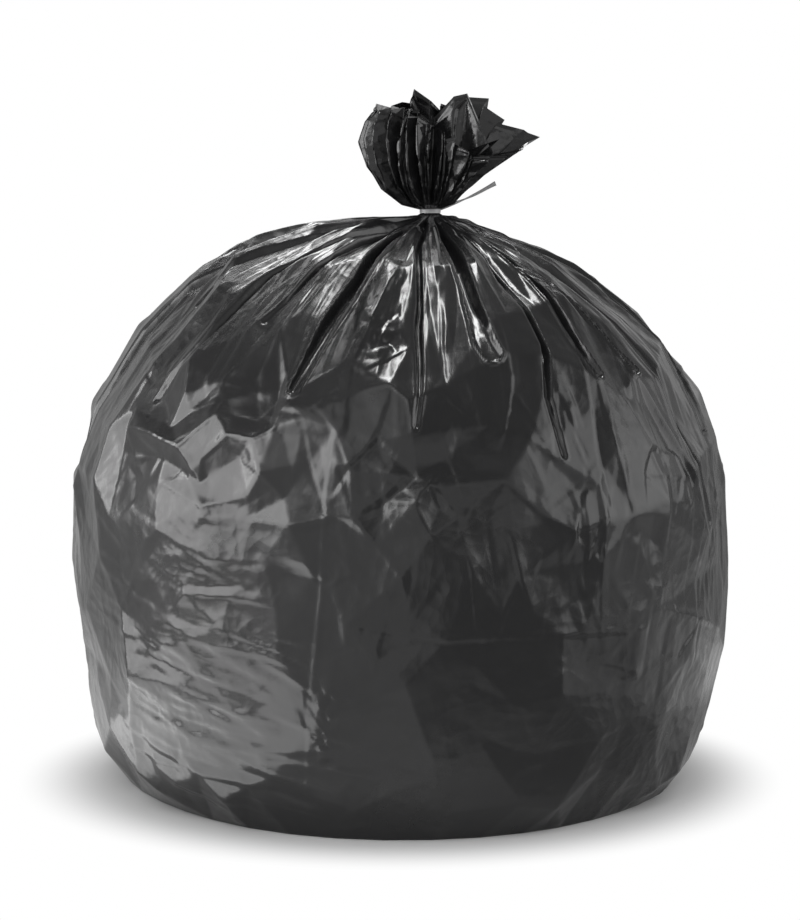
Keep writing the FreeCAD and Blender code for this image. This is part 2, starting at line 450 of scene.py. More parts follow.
WRINKLE_FIELDS = (
    WrinkleField((-56, -16), (24, 150), -0.25, 0.12, (30, 100), (0.4, 1.1), 60),
    WrinkleField((-62, -16), (140, 245), -0.25, 0.2, (24, 90), (0.15, 0.5), 45),
    WrinkleField((-66, -16), (228, 352), -0.2, 1.0, (18, 52), (0.3, 0.8), 40),
    WrinkleField((-16, 32), (150, 340), 0.0, 4.0, (20, 70), (0.3, 0.9), 70),
    WrinkleField((32, 84), (120, 345), 6.0, 5.0, (36, 110), (0.4, 1.0), 60),
    WrinkleField((-16, 84), (20, 160), 0.0, 0.5, (20, 70), (0.2, 0.5), 60),
    WrinkleField((-20, -15), (60, 120), 0.3, 0.3, (5, 12), (0.4, 0.8), 26),
    WrinkleField((84, 276), (30, 340), 0.0, 3.0, (24, 90), (0.4, 1.1), 130),
    WrinkleField((-84, 276), (335, 452), 40.0, 30.0, (30, 110), (0.3, 0.9), 150),
    WrinkleField((-16, -8), (352, 424), 1.0, 2.0, (10, 26), (0.6, 1.3), 22),
)
# The line where the side gusset was folded, and the fold left across the film by its packing.
GUSSET_LINE: Path = ((-17, 318), (-17, 304), (-17.5, 247), (-18, 188), (-19.5, 127), (-21, 66), (-22.5, 21))
PACKING_FOLD: Path = ((-14, 172), (2, 158), (22, 157), (48, 150))


@dataclass(frozen=True)
class Strength:
    """How strongly the film is creased from place to place, as the spread of its lifts."""

    plain: float
    crumpled: float
    drawn: float

    crumple_place: ClassVar[Span] = (-42.0, 275.0)
    crumple_spread: ClassVar[Span] = (24.0, 85.0)
    low_place: ClassVar[Span] = (-38.0, 110.0)
    low_spread: ClassVar[Span] = (26.0, 90.0)
    low_share: ClassVar[float] = 0.15
    drawn_from: ClassVar[float] = 340.0
    drawn_over: ClassVar[float] = 120.0

    def at(self, bearing: float, run: float) -> float:
        """Works out the size of the creases at one place.

        Args:
            bearing: The place's bearing.
            run: The place's run up the film.

        Returns:
            The spread of the lifts there: more at the crumple, at the lower left and towards the neck.
        """
        crumple = self.nearness(bearing, run, self.crumple_place, self.crumple_spread)
        low = self.nearness(bearing, run, self.low_place, self.low_spread)
        drawn = min(max((run - self.drawn_from) / self.drawn_over, 0.0), 1.0)
        return self.plain + self.crumpled * max(crumple, self.low_share * low) + self.drawn * drawn

    @staticmethod
    def nearness(bearing: float, run: float, place: Span, spread: Span) -> float:
        """Returns 1 at a place of (bearing, run), fading to 0 over the spread of each."""
        return math.exp(-(((bearing - place[0]) / spread[0]) ** 2) - ((run - place[1]) / spread[1]) ** 2)


@dataclass(frozen=True)
class Facets:
    """The size of a net's facets, how far they stand out, and how they are drawn out towards the neck."""

    gap: float
    strength: Strength
    squeeze: float
    squeezed_from: float = 330.0


@dataclass
class FacetNet:
    """Flat facets of drawn film between creases, worked out on a flat map of the film.

    The map's first side is the bearing, laid out at the girth's size, and its second the run up the film.
    """

    columns: Array
    rows: Array
    facets: Facets
    scale: float = GIRTH_DEGREE

    margin: ClassVar[float] = 60.0
    row_gap: ClassVar[float] = 0.87
    shake: ClassVar[float] = 0.36
    least_gap: ClassVar[float] = 0.55
    tolerance: ClassVar[float] = 1e-6

    def __post_init__(self) -> None:
        """Starts with no spots and no edges."""
        self.spots: list[Point] = []
        self.edges: list[tuple[int, int]] = []

    def level(self, run: Array) -> Array:
        """Returns the map's second side: above the shoulder the facets are drawn out towards the neck."""
        start = self.facets.squeezed_from
        return np.where(run < start, run, start + self.facets.squeeze * (run - start))

    def run(self, level: Array) -> Array:
        """Returns the run up the film of a level of the map."""
        start = self.facets.squeezed_from
        return np.where(level < start, level, start + (level - start) / self.facets.squeeze)

    def place(self, bearing: float, run: float, lift: float) -> int:
        """Adds one spot, also past the map's ends.

        Args:
            bearing: The spot's bearing.
            run: The spot's run up the film.
            lift: How far the spot stands out.

        Returns:
            The number of the spot inside the map.
        """
        x, y = bearing * self.scale, float(self.level(np.array(run)))
        self.spots.append((x, y, lift))
        number = len(self.spots) - 1
        for shift in (-360.0, 360.0):
            if self.columns[0] - self.margin < bearing + shift < self.columns[-1] + self.margin:
                self.spots.append(((bearing + shift) * self.scale, y, lift))
        return number

    def place_line(self, line: list[Point]) -> None:
        """Adds a crease as spots of (bearing, run, lift) with edges between them."""
        numbers = [self.place(*spot) for spot in line]
        self.edges += list(zip(numbers, numbers[1:]))

    def ring(self, run: float, step: float) -> None:
        """Adds a ring of spots that lie on the film, a step of degrees apart."""
        for bearing in np.arange(-180.0, 180.0, step):
            self.place(float(bearing), run, 0.0)

    def scatter(self, chance: np.random.Generator) -> None:
        """Fills the map with spots about one gap apart, clear of the spots that are there already.

        Args:
            chance: The source of their places and lifts.
        """
        gap = self.facets.gap
        taken = np.array([spot[:2] for spot in self.spots]) if self.spots else np.zeros((0, 2))
        top = float(self.level(self.rows[-1]))
        across = np.arange(-180 * self.scale, 180 * self.scale, gap)
        for number, y in enumerate(np.arange(0, top, gap * self.row_gap)):
            for x in across + (number % 2) * gap / 2:
                at = np.array([x, y]) + chance.uniform(-self.shake, self.shake, 2) * gap
                if len(taken) and np.min(np.hypot(*(taken - at).T)) < self.least_gap * gap:
                    continue
                bearing, run = at[0] / self.scale, float(self.run(min(max(at[1], 0.0), top)))
                self.place(bearing, run, float(chance.normal(0, 1) * self.facets.strength.at(bearing, run)))

    def blend(self, values: Array) -> Array:
        """Spreads one value or point of each spot flat over the facets.

        Args:
            values: One row for each spot.

        Returns:
            The values at each point of the film, with NaN where no facet lies.
        """
        made = delaunay_2d_cdt([Vector(spot[:2]) for spot in self.spots], self.edges, [], 0, 1e-3)
        places, faces, origins = made[0], made[2], made[3]
        corners = np.array([values[old[0]] if old else np.full(values.shape[1], np.nan) for old in origins])
        xs, ys = np.array([v[0] for v in places]), np.array([v[1] for v in places])
        across, along = self.columns * self.scale, self.level(self.rows)
        grid = np.full((len(along), len(across), values.shape[1]), np.nan)
        slack = self.tolerance
        for a, b, c in faces:
            corner_x, corner_y = xs[[a, b, c]], ys[[a, b, c]]
            left, right = np.searchsorted(across, [corner_x.min() - slack, corner_x.max() + slack])
            low, high = np.searchsorted(along, [corner_y.min() - slack, corner_y.max() + slack])
            size = (ys[b] - ys[c]) * (xs[a] - xs[c]) + (xs[c] - xs[b]) * (ys[a] - ys[c])
            if left == right or low == high or abs(size) < 1e-9:
                continue
            px, py = across[None, left:right] - xs[c], along[low:high, None] - ys[c]
            first = ((ys[b] - ys[c]) * px + (xs[c] - xs[b]) * py) / size
            second = ((ys[c] - ys[a]) * px + (xs[a] - xs[c]) * py) / size
            inside = (first >= -slack) & (second >= -slack) & (first + second <= 1 + slack)
            shares = np.stack([first, second, 1 - first - second], axis=-1)
            part = grid[low:high, left:right]
            part[inside] = (shares @ corners[[a, b, c]])[inside]
        return grid

    def lifts(self) -> Array:
        """Returns the lift of each point of the film, flat over each facet."""
        return np.nan_to_num(self.blend(np.array([[spot[2]] for spot in self.spots]))[..., 0])


@dataclass
class FilledFilm:
    """The film from under the base up to the neck, drawn over the rubbish inside it."""

    girth_radius: float = FLAT_WIDTH / math.pi
    foot_radius: float = 231.0
    girth_height: float = 232.0
    crown_height: float = 461.8
    crown_radius: float = 13.0
    shoulder_roundness: float = 1.84
    shoulder_shift: float = 6.0
    lean_radius: float = 80.0
    front_columns: int = 600
    back_columns: int = 190
    rings: int = 330
    seed: int = 11
    large_facets: Facets = Facets(46.0, Strength(2.2, 0.4, 0.8), 0.7)
    middling_facets: Facets = Facets(24.0, Strength(0.4, 0.3, 0.7), 0.4)
    small_facets: Facets = Facets(13.0, Strength(0.1, 0.1, 0.5), 0.25, 250.0)
    crease_form: CreaseForm = CreaseForm()
    gather_form: GatherForm = GatherForm()

    front_edge: ClassVar[float] = 84.0
    path_radius: ClassVar[float] = 250.0
    side_samples: ClassVar[int] = 400
    shoulder_samples: ClassVar[int] = 600
    # The steps in degrees between the facets' corners on the foot and at the neck.
    foot_step: ClassVar[float] = 9.0
    neck_step: ClassVar[float] = 12.0
    edge_width: ClassVar[float] = 1.3
    edge_lift: ClassVar[float] = 0.7
    line_width: ClassVar[float] = 1.4
    line_lift: ClassVar[float] = 0.9
    # Where the creases and the gathers begin to grow, and over how long a stretch: up from the foot, and
    # out from the neck's axis.
    foot_growth: ClassVar[Span] = (0.0, 25.0)
    crease_growth: ClassVar[Span] = (12.0, 70.0)
    gather_growth: ClassVar[Span] = (9.0, 22.0)
    back_top: ClassVar[float] = 456.0
    back_sway: ClassVar[float] = 4.0
    back_bend: ClassVar[float] = 2.4
    back_pockets: ClassVar[float] = 0.4
    back_pocket_widths: ClassVar[Span] = (6, 11)
    back_slit_widths: ClassVar[Span] = (3, 5)
    back_depths: ClassVar[Span] = (7, 12)
    back_lip: ClassVar[float] = 1.2
    lump_count: ClassVar[int] = 70
    lump_heights: ClassVar[Span] = (20, 430)
    lump_sizes: ClassVar[Span] = (28, 75)
    lump_stretch: ClassVar[float] = 1.2
    lump_lift: ClassVar[float] = 2.2
    lump_share: ClassVar[float] = 0.4
    tuck_count: ClassVar[int] = 26
    tuck_widths: ClassVar[Span] = (4, 11)
    tuck_reaches: ClassVar[Span] = (25, 90)
    tuck_lifts: ClassVar[Span] = (-4.0, 2.5)
    tuck_lean: ClassVar[float] = 0.05
    tuck_end: ClassVar[float] = 30.0
    tuck_growth: ClassVar[Span] = (0.0, 10.0)
    tuck_top: ClassVar[float] = 70.0
    tuck_fade: ClassVar[float] = 60.0
    neck_pleat_counts: ClassVar[tuple[int, ...]] = (23, 31, 41)
    neck_pleat_size: ClassVar[float] = 0.045
    neck_pleat_level: ClassVar[float] = 0.6
    neck_pleat_reach: ClassVar[float] = 95.0
    neck_pleat_fade: ClassVar[float] = 70.0
    base_shares: ClassVar[tuple[float, ...]] = (0.12, 0.3, 0.5, 0.7, 0.86, 0.95)
    # The rings inside the tie, as (radius, height), and their pleats.
    collar: ClassVar[Path] = ((9.6, 463.0), (7.6, 464.4), (6.9, 465.6), (6.7, 467.2))
    collar_pleats: ClassVar[int] = 19
    collar_pleat_size: ClassVar[float] = 0.06

    def bearings(self) -> Array:
        """Lays out the film's columns.

        Returns:
            The columns' bearings, closer together at the front than at the back.
        """
        edge = self.front_edge
        front = np.linspace(-edge, edge, self.front_columns, endpoint=False)
        back = np.linspace(edge, 360.0 - edge, self.back_columns, endpoint=False)
        return np.concatenate([front, back])

    def run_at(self, height: Array) -> Array:
        """Returns the run up the film at a height."""
        return np.interp(height, self.heights, self.runs)

    def stations(self) -> tuple[Array, Array, Array]:
        """Works out the side and the shoulder as rings evenly spaced along the film.

        Returns:
            Each ring's height, its radius, and its share of the bulge above the foot.
        """
        lower = np.linspace(0.0, math.pi / 2, self.side_samples)
        heights = self.girth_height * (1 - np.cos(lower))
        shares = np.sin(lower)
        radii = self.foot_radius + (self.girth_radius - self.foot_radius) * shares
        power = 2.0 / self.shoulder_roundness
        last = math.acos((self.crown_radius / self.girth_radius) ** (1 / power))
        upper = np.linspace(0.0, last, self.shoulder_samples)[1:]
        rise = (self.crown_height - self.girth_height) / math.sin(last) ** power
        heights = np.concatenate([heights, self.girth_height + rise * np.sin(upper) ** power])
        radii = np.concatenate([radii, self.girth_radius * np.cos(upper) ** power])
        shares = np.concatenate([shares, np.ones(len(upper))])
        runs = np.concatenate([[0.0], np.cumsum(np.hypot(np.diff(heights), np.diff(radii)))])
        even = np.linspace(0.0, runs[-1], self.rings)
        return np.interp(even, runs, heights), np.interp(even, runs, radii), np.interp(even, runs, shares)

    def lay_out(self) -> None:
        """Lays the smooth film out, with each point's bearing, its run and its distance from the neck."""
        heights, radii, shares = self.stations()
        bearing = self.bearings()[None, :]
        turn = np.radians(bearing)
        tuck = np.zeros(bearing.shape)
        for each in FOOT_TUCKS:
            tuck = tuck + each.depth * bump_at(turned(bearing, each.bearing), 0, each.spread)
        reach = radii[:, None] - tuck * (1 - shares[:, None])
        for swell in SWELLS:
            pull = bump_at(turned(bearing, swell.bearing), 0, swell.spread)
            reach = reach + swell.amount * pull * bump_at(heights[:, None], swell.height, swell.rise_spread)
        gathered = smooth((self.lean_radius - radii) / (self.lean_radius - self.crown_radius))
        sunk = smooth((self.girth_radius - radii) / self.lean_radius)
        centre = NECK_X * gathered - self.shoulder_shift * sunk * (1 - gathered)
        aside = (NECK_X - centre)[:, None]
        along = aside * np.sin(turn)
        self.out = np.sqrt(along**2 - aside**2 + reach**2) - along
        self.turn = np.broadcast_to(turn, self.out.shape)
        self.heights = heights
        steps = np.hypot(np.diff(heights), np.diff(radii))
        self.runs = np.concatenate([[0.0], np.cumsum(steps)])
        self.run = np.broadcast_to(self.runs[:, None], self.out.shape)
        self.points = around_neck(self.out, self.turn, np.broadcast_to(heights[:, None], self.out.shape))

    def window(self, path: Path, margin: float) -> tuple[Array, Array]:
        """Finds the part of the film that lies near a path.

        Args:
            path: Points of (bearing, height).
            margin: How near, in millimetres.

        Returns:
            The rows and the columns of that part.
        """
        runs = self.run_at([height for _, height in path])
        rows = np.nonzero((self.runs > runs.min() - margin) & (self.runs < runs.max() + margin))[0]
        bearings = [bearing for bearing, _ in path]
        middle = 0.5 * (min(bearings) + max(bearings))
        narrow = max(float(np.interp(max(runs) + margin, self.runs, self.out.mean(axis=1))), 12.0)
        reach = 0.5 * (max(bearings) - min(bearings)) + math.degrees(margin / narrow)
        columns = np.nonzero(np.abs(turned(self.bearings(), middle)) < reach)[0]
        return rows[:, None], columns[None, :]

    def trace(self, path: Path, part: tuple[Array, Array] | None = None) -> tuple[Array, Array, Array]:
        """Measures the film from a path.

        Args:
            path: Points of (bearing, height), in order.
            part: The rows and the columns to measure, or None for the whole film.

        Returns:
            Each point's distance from the path in millimetres, its side of the path (-1 or 1), and its
            share along the path.
        """
        where = slice(None) if part is None else part
        out, turn, run = self.out[where], self.turn[where], self.run[where]
        runs = self.run_at([height for _, height in path])
        turns = np.radians([bearing for bearing, _ in path])
        lengths = np.hypot(self.path_radius * np.diff(turns), np.diff(runs))
        total = lengths.sum()
        nearest = np.full(out.shape, 1e9)
        side = np.ones(out.shape)
        share = np.zeros(out.shape)
        before = 0.0
        for a, b, c, d, length in zip(turns, turns[1:], runs, runs[1:], lengths):
            away = (turn - a + math.pi) % (2 * math.pi) - math.pi
            ax, ay = out * away, run - c
            bx, by = out * (b - a), d - c
            k = np.clip((ax * bx + ay * by) / np.maximum(bx * bx + by * by, 1e-9), 0.0, 1.0)
            dx, dy = ax - k * bx, ay - k * by
            distance = np.hypot(dx, dy)
            closer = distance < nearest
            nearest = np.where(closer, distance, nearest)
            side = np.where(closer, np.where(bx * dy - by * dx >= 0, 1.0, -1.0), side)
            share = np.where(closer, (before + k * length) / total, share)
            before += length
        return nearest, side, share

    def crease(self, lift: Array, crease: Crease) -> None:
        """Adds one crease to the film.

        Args:
            lift: The film's lift, which the crease is added to.
            crease: The crease.
        """
        part = self.window(crease.path, self.crease_form.reach * crease.width)
        if part[0].size and part[1].size:
            lift[part] += self.crease_form.lift(crease, *self.trace(crease.path, part))

    def gather(self, gather: Gather) -> tuple[Array, Array]:
        """Works out one gather over the whole film.

        Args:
            gather: The gather, whose path is drawn on up to the crown.

        Returns:
            How deep each point sinks into the gather, and how far the gather's lips stand out.
        """
        top = (gather.path[0][0], self.crown_height - 0.2)
        return self.gather_form.section(gather, *self.trace((top, *gather.path)), self.out)

    def back_gathers(self) -> list[Gather]:
        """Lays out the gathers of the back, which are like those of the front.

        Returns:
            The gathers, one to each tip.
        """
        chance = np.random.default_rng(self.seed + 1)
        top = self.back_top
        made = []
        for bearing, tip in BACK_TIPS:
            sway = chance.uniform(-self.back_sway, self.back_sway)
            end = bearing + sway * chance.uniform(0, self.back_bend)
            path = ((bearing, top), (bearing + sway, 0.5 * (top + tip)), (end, tip))
            pocket = chance.random() < self.back_pockets
            width = chance.uniform(*(self.back_pocket_widths if pocket else self.back_slit_widths))
            kind = GatherKind.POCKET if pocket else GatherKind.SLIT
            made.append(Gather(path, width, chance.uniform(*self.back_depths), kind, self.back_lip))
        return made

    def at(self, grid: Array, bearing: Array, run: Array) -> Array:
        """Reads a grid of points or normals between its columns and rings.

        Args:
            grid: The grid, as rings x columns x 3.
            bearing: Where to read it, in degrees.
            run: Where to read it, as the run up the film.

        Returns:
            One row for each place.
        """
        bearings = self.bearings()
        closed = np.concatenate([grid, grid[:, :1]], axis=1)
        starts = np.append(bearings, bearings[0] + 360) - bearings[0]
        column = np.interp((bearing - bearings[0]) % 360.0, starts, np.arange(len(starts)))
        row = np.interp(run, self.runs, np.arange(self.rings))
        i = np.minimum(row.astype(int), self.rings - 2)
        j = np.minimum(column.astype(int), len(bearings) - 1)
        v, u = (row - i)[:, None], (column - j)[:, None]
        lower = closed[i, j] * (1 - u) + closed[i, j + 1] * u
        upper = closed[i + 1, j] * (1 - u) + closed[i + 1, j + 1] * u
        return lower * (1 - v) + upper * v

    def drawn_flat(self, chance: np.random.Generator) -> Array:
        """Draws the smooth film flat between its main creases.

        Args:
            chance: The source of the creases between the placed ones.

        Returns:
            The film's points, flat over each large facet.
        """
        net = FacetNet(self.bearings(), self.runs, self.large_facets)
        for line in PLACED_EDGES:
            net.place_line([(bearing, float(self.run_at(height)), lift) for bearing, height, lift in line])
        net.ring(0.0, self.foot_step)
        net.ring(float(self.runs[-1]), self.neck_step)
        net.scatter(chance)
        spots = np.array(net.spots)
        bearing = spots[:, 0] / net.scale
        run = np.clip(net.run(spots[:, 1]), 0.0, self.runs[-1])
        normals = outward(self.points)
        places = self.at(self.points, bearing, run) + self.at(normals, bearing, run) * spots[:, 2:3]
        places[run <= 0.0, 2] = 0.0
        flat = net.blend(places)
        return self.rounded(np.where(np.isnan(flat), self.points, flat))

    def finer_facets(self, chance: np.random.Generator) -> Array:
        """Works out the film's middling and small facets.

        Args:
            chance: The source of their places and lifts.

        Returns:
            The lift at each point of the film.
        """
        lift = np.zeros(self.out.shape)
        for facets in (self.middling_facets, self.small_facets):
            net = FacetNet(self.bearings(), self.runs, facets)
            net.scatter(chance)
            lift += net.lifts()
        return lift

    @staticmethod
    def rounded(grid: Array) -> Array:
        """Rounds the sharp creases of a film a little.

        Args:
            grid: The film's points, as closed rings x points of a ring x 3.

        Returns:
            The points of the rounded film.
        """
        grid = 0.5 * grid + 0.25 * (np.roll(grid, 1, axis=1) + np.roll(grid, -1, axis=1))
        padded = np.concatenate([grid[:1], grid, grid[-1:]])
        return 0.5 * grid + 0.25 * (padded[:-2] + padded[2:])

    def lumps(self) -> Array:
        """Works out the slow swell of the film over the rubbish inside.

        Returns:
            The lift at each point of the film.
        """
        chance = np.random.default_rng(self.seed + 2)
        lift = np.zeros(self.out.shape)
        for _ in range(self.lump_count):
            bearing, height = chance.uniform(-180, 180), chance.uniform(*self.lump_heights)
            size, amount = chance.uniform(*self.lump_sizes), chance.uniform(-self.lump_lift, self.lump_lift)
            away = turned(np.degrees(self.turn), bearing) * math.pi / 180 * self.out
            upward = (self.run - float(self.run_at(height))) / (size * self.lump_stretch)
            lift += amount * np.exp(-((away / size) ** 2) - upward**2)
        return lift

    def base_tucks(self) -> Array:
        """Works out the tucks that take up the spare film round the base.

        Returns:
            The lift at each point of the film.
        """
        chance = np.random.default_rng(self.seed + 3)
        lift = np.zeros(self.out.shape)
        for _ in range(self.tuck_count):
            bearing, width = chance.uniform(-180, 180), chance.uniform(*self.tuck_widths)
            leaning = bearing + self.tuck_lean * self.run
            away = turned(np.degrees(self.turn), leaning) * math.pi / 180 * self.out
            reach = smooth((chance.uniform(*self.tuck_reaches) - self.run) / self.tuck_end)
            lift += chance.uniform(*self.tuck_lifts) * np.exp(-np.abs(away) / width) * reach
        return lift * smooth((self.tuck_top - self.run) / self.tuck_fade) * grown(self.run, self.tuck_growth)

    def neck_pleats(self) -> Array:
        """Works out the fine pleats that run into the neck.

        Returns:
            The lift at each point of the film.
        """
        chance = np.random.default_rng(self.seed + 4)
        wave = np.zeros(self.out.shape)
        for count in self.neck_pleat_counts:
            wave += np.abs(np.sin(0.5 * count * self.turn + chance.uniform(0, 6))) - self.neck_pleat_level
        near = smooth((self.neck_pleat_reach - self.out) / self.neck_pleat_fade)
        return near * wave * self.neck_pleat_size * self.out

    def shape(self) -> Array:
        """Works the film out, with every fold and crease.

        Returns:
            The grid of points from the foot to the neck, in millimetres.
        """
        self.lay_out()
        chance = np.random.default_rng(self.seed)
        flat = self.drawn_flat(chance)
        lift = self.lump_share * self.lumps() + self.finer_facets(chance)
        for field in WRINKLE_FIELDS:
            for crease in field.creases(chance):
                self.crease(lift, crease)
        for line in PLACED_EDGES:
            self.crease(lift, Crease(tuple(spot[:2] for spot in line), self.edge_width, self.edge_lift))
        for path in (GUSSET_LINE, PACKING_FOLD):
            self.crease(lift, Crease(path, self.line_width, self.line_lift, CreaseKind.LAP))
        lift *= grown(self.run, self.foot_growth) * grown(self.out, self.crease_growth)
        lift += self.base_tucks()
        groove, lips = np.zeros(self.out.shape), np.zeros(self.out.shape)
        for gather in (*FRONT_GATHERS, *self.back_gathers()):
            sunk, lip = self.gather(gather)
            groove, lips = np.maximum(groove, sunk), np.maximum(lips, lip)
        lift += (lips - groove) * grown(self.out, self.gather_growth) + self.neck_pleats()
        points = flat + outward(self.points) * lift[..., None]
        points[..., 2] = np.maximum(points[..., 2], 0.0)
        return points

    def build(self) -> list[bpy.types.Object]:
        """Builds the filled film in four pieces side by side, from under the base to inside the tie.

        Returns:
            The left, the middle, the right and the back of the film.
        """
        upper = self.shape()
        flat_rim = upper[0] * (1.0, 1.0, 0.0)
        base = [flat_rim * share for share in self.base_shares]
        turn = self.turn[0]
        pleat = 1 + self.collar_pleat_size * np.sin(self.collar_pleats * turn)
        level = np.ones(len(turn))
        neck = [around_neck(radius * pleat, turn, height * level) for radius, height in self.collar]
        grid = np.concatenate([np.array(base), upper, np.array(neck)])
        third = self.front_columns // 3
        parts = (
            ("film_left", 0, third),
            ("film_middle", third, third),
            ("film_right", 2 * third, third),
            ("film_back", self.front_columns, self.back_columns),
        )
        return [film_mesh(name, grid, first, count, cap=True) for name, first, count in parts]


# The ruffle's side at each bearing, as (distance out from the neck's axis, height) at each station.
RUFFLE_PROFILES: dict[float, Path] = {
    -104: ((6.7, 467), (22, 471), (38, 484), (50, 501), (56, 522), (50, 539), (40, 549)),
    -78: ((6.7, 467), (24, 471), (41, 484), (52, 502), (56, 522), (52, 537), (46, 549)),
    -48: ((6.7, 467), (22, 472), (36, 486), (43, 503), (45, 524), (42, 540), (38, 548)),
    -14: ((6.7, 467), (19, 472), (29, 486), (34, 502), (36, 520), (34, 534), (31, 541)),
    18: ((6.7, 467), (17, 472), (26, 484), (32, 497), (36, 511), (37, 522), (37, 529)),
    50: ((6.7, 467), (17, 472), (27, 482), (35, 491), (42, 500), (46, 506), (48, 511)),
    80: ((6.7, 467), (18, 472), (30, 483), (42, 494), (53, 502), (60, 508), (64, 511)),
    98: ((6.7, 467), (19, 472), (33, 486), (46, 497), (62, 508), (79, 519), (91, 526)),
    116: ((6.7, 467), (22, 472), (35, 487), (45, 503), (54, 518), (62, 532), (67, 540)),
    134: ((6.7, 467), (22, 472), (36, 488), (45, 505), (54, 524), (60, 545), (63, 559)),
    152: ((6.7, 467), (24, 472), (37, 488), (44, 506), (47, 526), (48, 543), (48, 553)),
    171: ((6.7, 467), (24, 472), (38, 488), (44, 506), (45, 528), (43, 542), (40, 550)),
    190: ((6.7, 467), (24, 472), (38, 488), (43, 506), (42, 528), (36, 547), (28, 560)),
    210: ((6.7, 467), (24, 472), (38, 488), (44, 505), (44, 526), (38, 541), (32, 549)),
    228: ((6.7, 467), (24, 472), (39, 488), (45, 504), (45, 524), (38, 542), (28, 556)),
}


@dataclass
class Ruffle:
    """The loose mouth of the bag above the tie: flat, uneven pleats that open like a fan."""

    name: str = "film_ruffle"
    pleat_count: int = 30
    scale: float = 1.0
    rim_ragged: float = 1.5
    flat_bearing: float = 100.0
    flat_spread: float = 20.0
    columns_per_fold: int = 14
    rings: int = 112
    seed: int = 5

    stations: ClassVar[tuple[float, ...]] = (0.0, 0.15, 0.35, 0.55, 0.75, 0.9, 1.0)
    valley_shares: ClassVar[tuple[float, ...]] = (0.94, 0.74, 0.6, 0.56, 0.58, 0.62, 0.66)
    valley_depths: ClassVar[Span] = (0.4, 1.15)
    neck_radius: ClassVar[float] = 6.7
    fold_gaps: ClassVar[Span] = (0.45, 1.55)
    unevenness: ClassVar[float] = 0.035
    fold_root: ClassVar[float] = 6.5
    horn_flatness: ClassVar[float] = 0.9
    horn_evenness: ClassVar[float] = 0.8
    horn_margin: ClassVar[float] = 1.4
    crumple_rate: ClassVar[float] = 2.2
    sway: ClassVar[float] = 4.0
    # The sizes of the crumple's facets and their lifts, on a map with the film's height stretched to 50.
    crumple_nets: ClassVar[Path] = ((13.0, 1.0), (6.0, 0.4))
    crumple_height: ClassVar[float] = 50.0
    crumple_scale: ClassVar[float] = 0.9

    def flatness(self, bearing: Array, widened: float = 1.0) -> Array:
        """Returns how far the film is flat, as it is at the horn, from 0 to 1."""
        return bump_at(turned(bearing, self.flat_bearing), 0, widened * self.flat_spread)

    def profile(self, bearing: float) -> Array:
        """Blends the given profiles round the neck.

        Args:
            bearing: The bearing in degrees.

        Returns:
            Distances out from the neck's axis and heights, one pair for each station.
        """
        keys = sorted(RUFFLE_PROFILES)
        place = (bearing - keys[0]) % 360.0
        starts = [key - keys[0] for key in keys] + [360.0]
        which = min(int(np.searchsorted(starts, place, side="right")) - 1, len(keys) - 1)
        share = (place - starts[which]) / (starts[which + 1] - starts[which])
        lower = np.array(RUFFLE_PROFILES[keys[which]])
        upper = np.array(RUFFLE_PROFILES[keys[(which + 1) % len(keys)]])
        return lower * (1 - share) + upper * share

    def fold_bearings(self, chance: np.random.Generator) -> Array:
        """Spreads the folds unevenly round the neck, with a crest at each given profile.

        Args:
            chance: The source of the gaps between the folds.

        Returns:
            The bearings of the crests and the valleys, by turns.
        """
        gaps = chance.uniform(*self.fold_gaps, 2 * self.pleat_count)
        bearings = np.cumsum(gaps) / gaps.sum() * 360.0 - 180.0
        for key in RUFFLE_PROFILES:
            nearest = 2 * int(np.argmin(np.abs(turned(bearings[::2], key))))
            bearings[nearest] += turned(key, bearings[nearest])
        return bearings

    def fold_lines(self, chance: np.random.Generator) -> Array:
        """Works out the crests and valleys by turns, all the way round.

        Args:
            chance: The source of their unevenness.

        Returns:
            Points in millimetres and their shares of the way up, as lines x stations x 4.
        """
        lines = []
        for number, bearing in enumerate(self.fold_bearings(chance)):
            up = np.array(self.stations)
            up[2:-1] += chance.normal(0, self.unevenness, len(up) - 3)
            pairs = self.profile(float(bearing))
            flat = float(self.flatness(bearing))
            share = np.ones(len(up)) + chance.normal(0, self.unevenness) * up * (1 - flat)
            if number % 2:
                deep = (1 - np.array(self.valley_shares)) * chance.uniform(*self.valley_depths)
                share = 1 - deep * (1 - self.horn_flatness * flat * up)
            reach = self.fold_root + (pairs[:, 0] - self.fold_root) * share * self.scale
            reach[0] = self.neck_radius
            rise = chance.normal(0, self.rim_ragged) * (1 - self.horn_evenness * flat)
            height = pairs[:, 1] + rise * up**3
            sway = chance.normal(0, self.sway) * up**1.5 + self.sway * np.sin(4 * up + number) * up
            turn = np.radians(bearing + sway * (1 - flat))
            lines.append(np.concatenate([around_neck(reach, turn, height), up[:, None]], axis=-1))
        return np.array(lines)

    def shape(self) -> Array:
        """Works the ruffle out.

        Returns:
            The grid of points from inside the tie to the mouth's edge, in millimetres.
        """
        chance = np.random.default_rng(self.seed)
        lines = self.fold_lines(chance)
        up = np.linspace(0, 1, self.rings)
        folds = [[np.interp(up, line[:, 3], line[:, axis]) for axis in range(3)] for line in lines]
        drawn = np.array(folds).transpose(0, 2, 1)
        share = (np.arange(self.columns_per_fold) / self.columns_per_fold)[None, :, None, None]
        panels = drawn[:, None] * (1 - share) + np.roll(drawn, -1, axis=0)[:, None] * share
        points = panels.reshape(-1, self.rings, 3).transpose(1, 0, 2)
        return self.crumpled(points, up, chance)

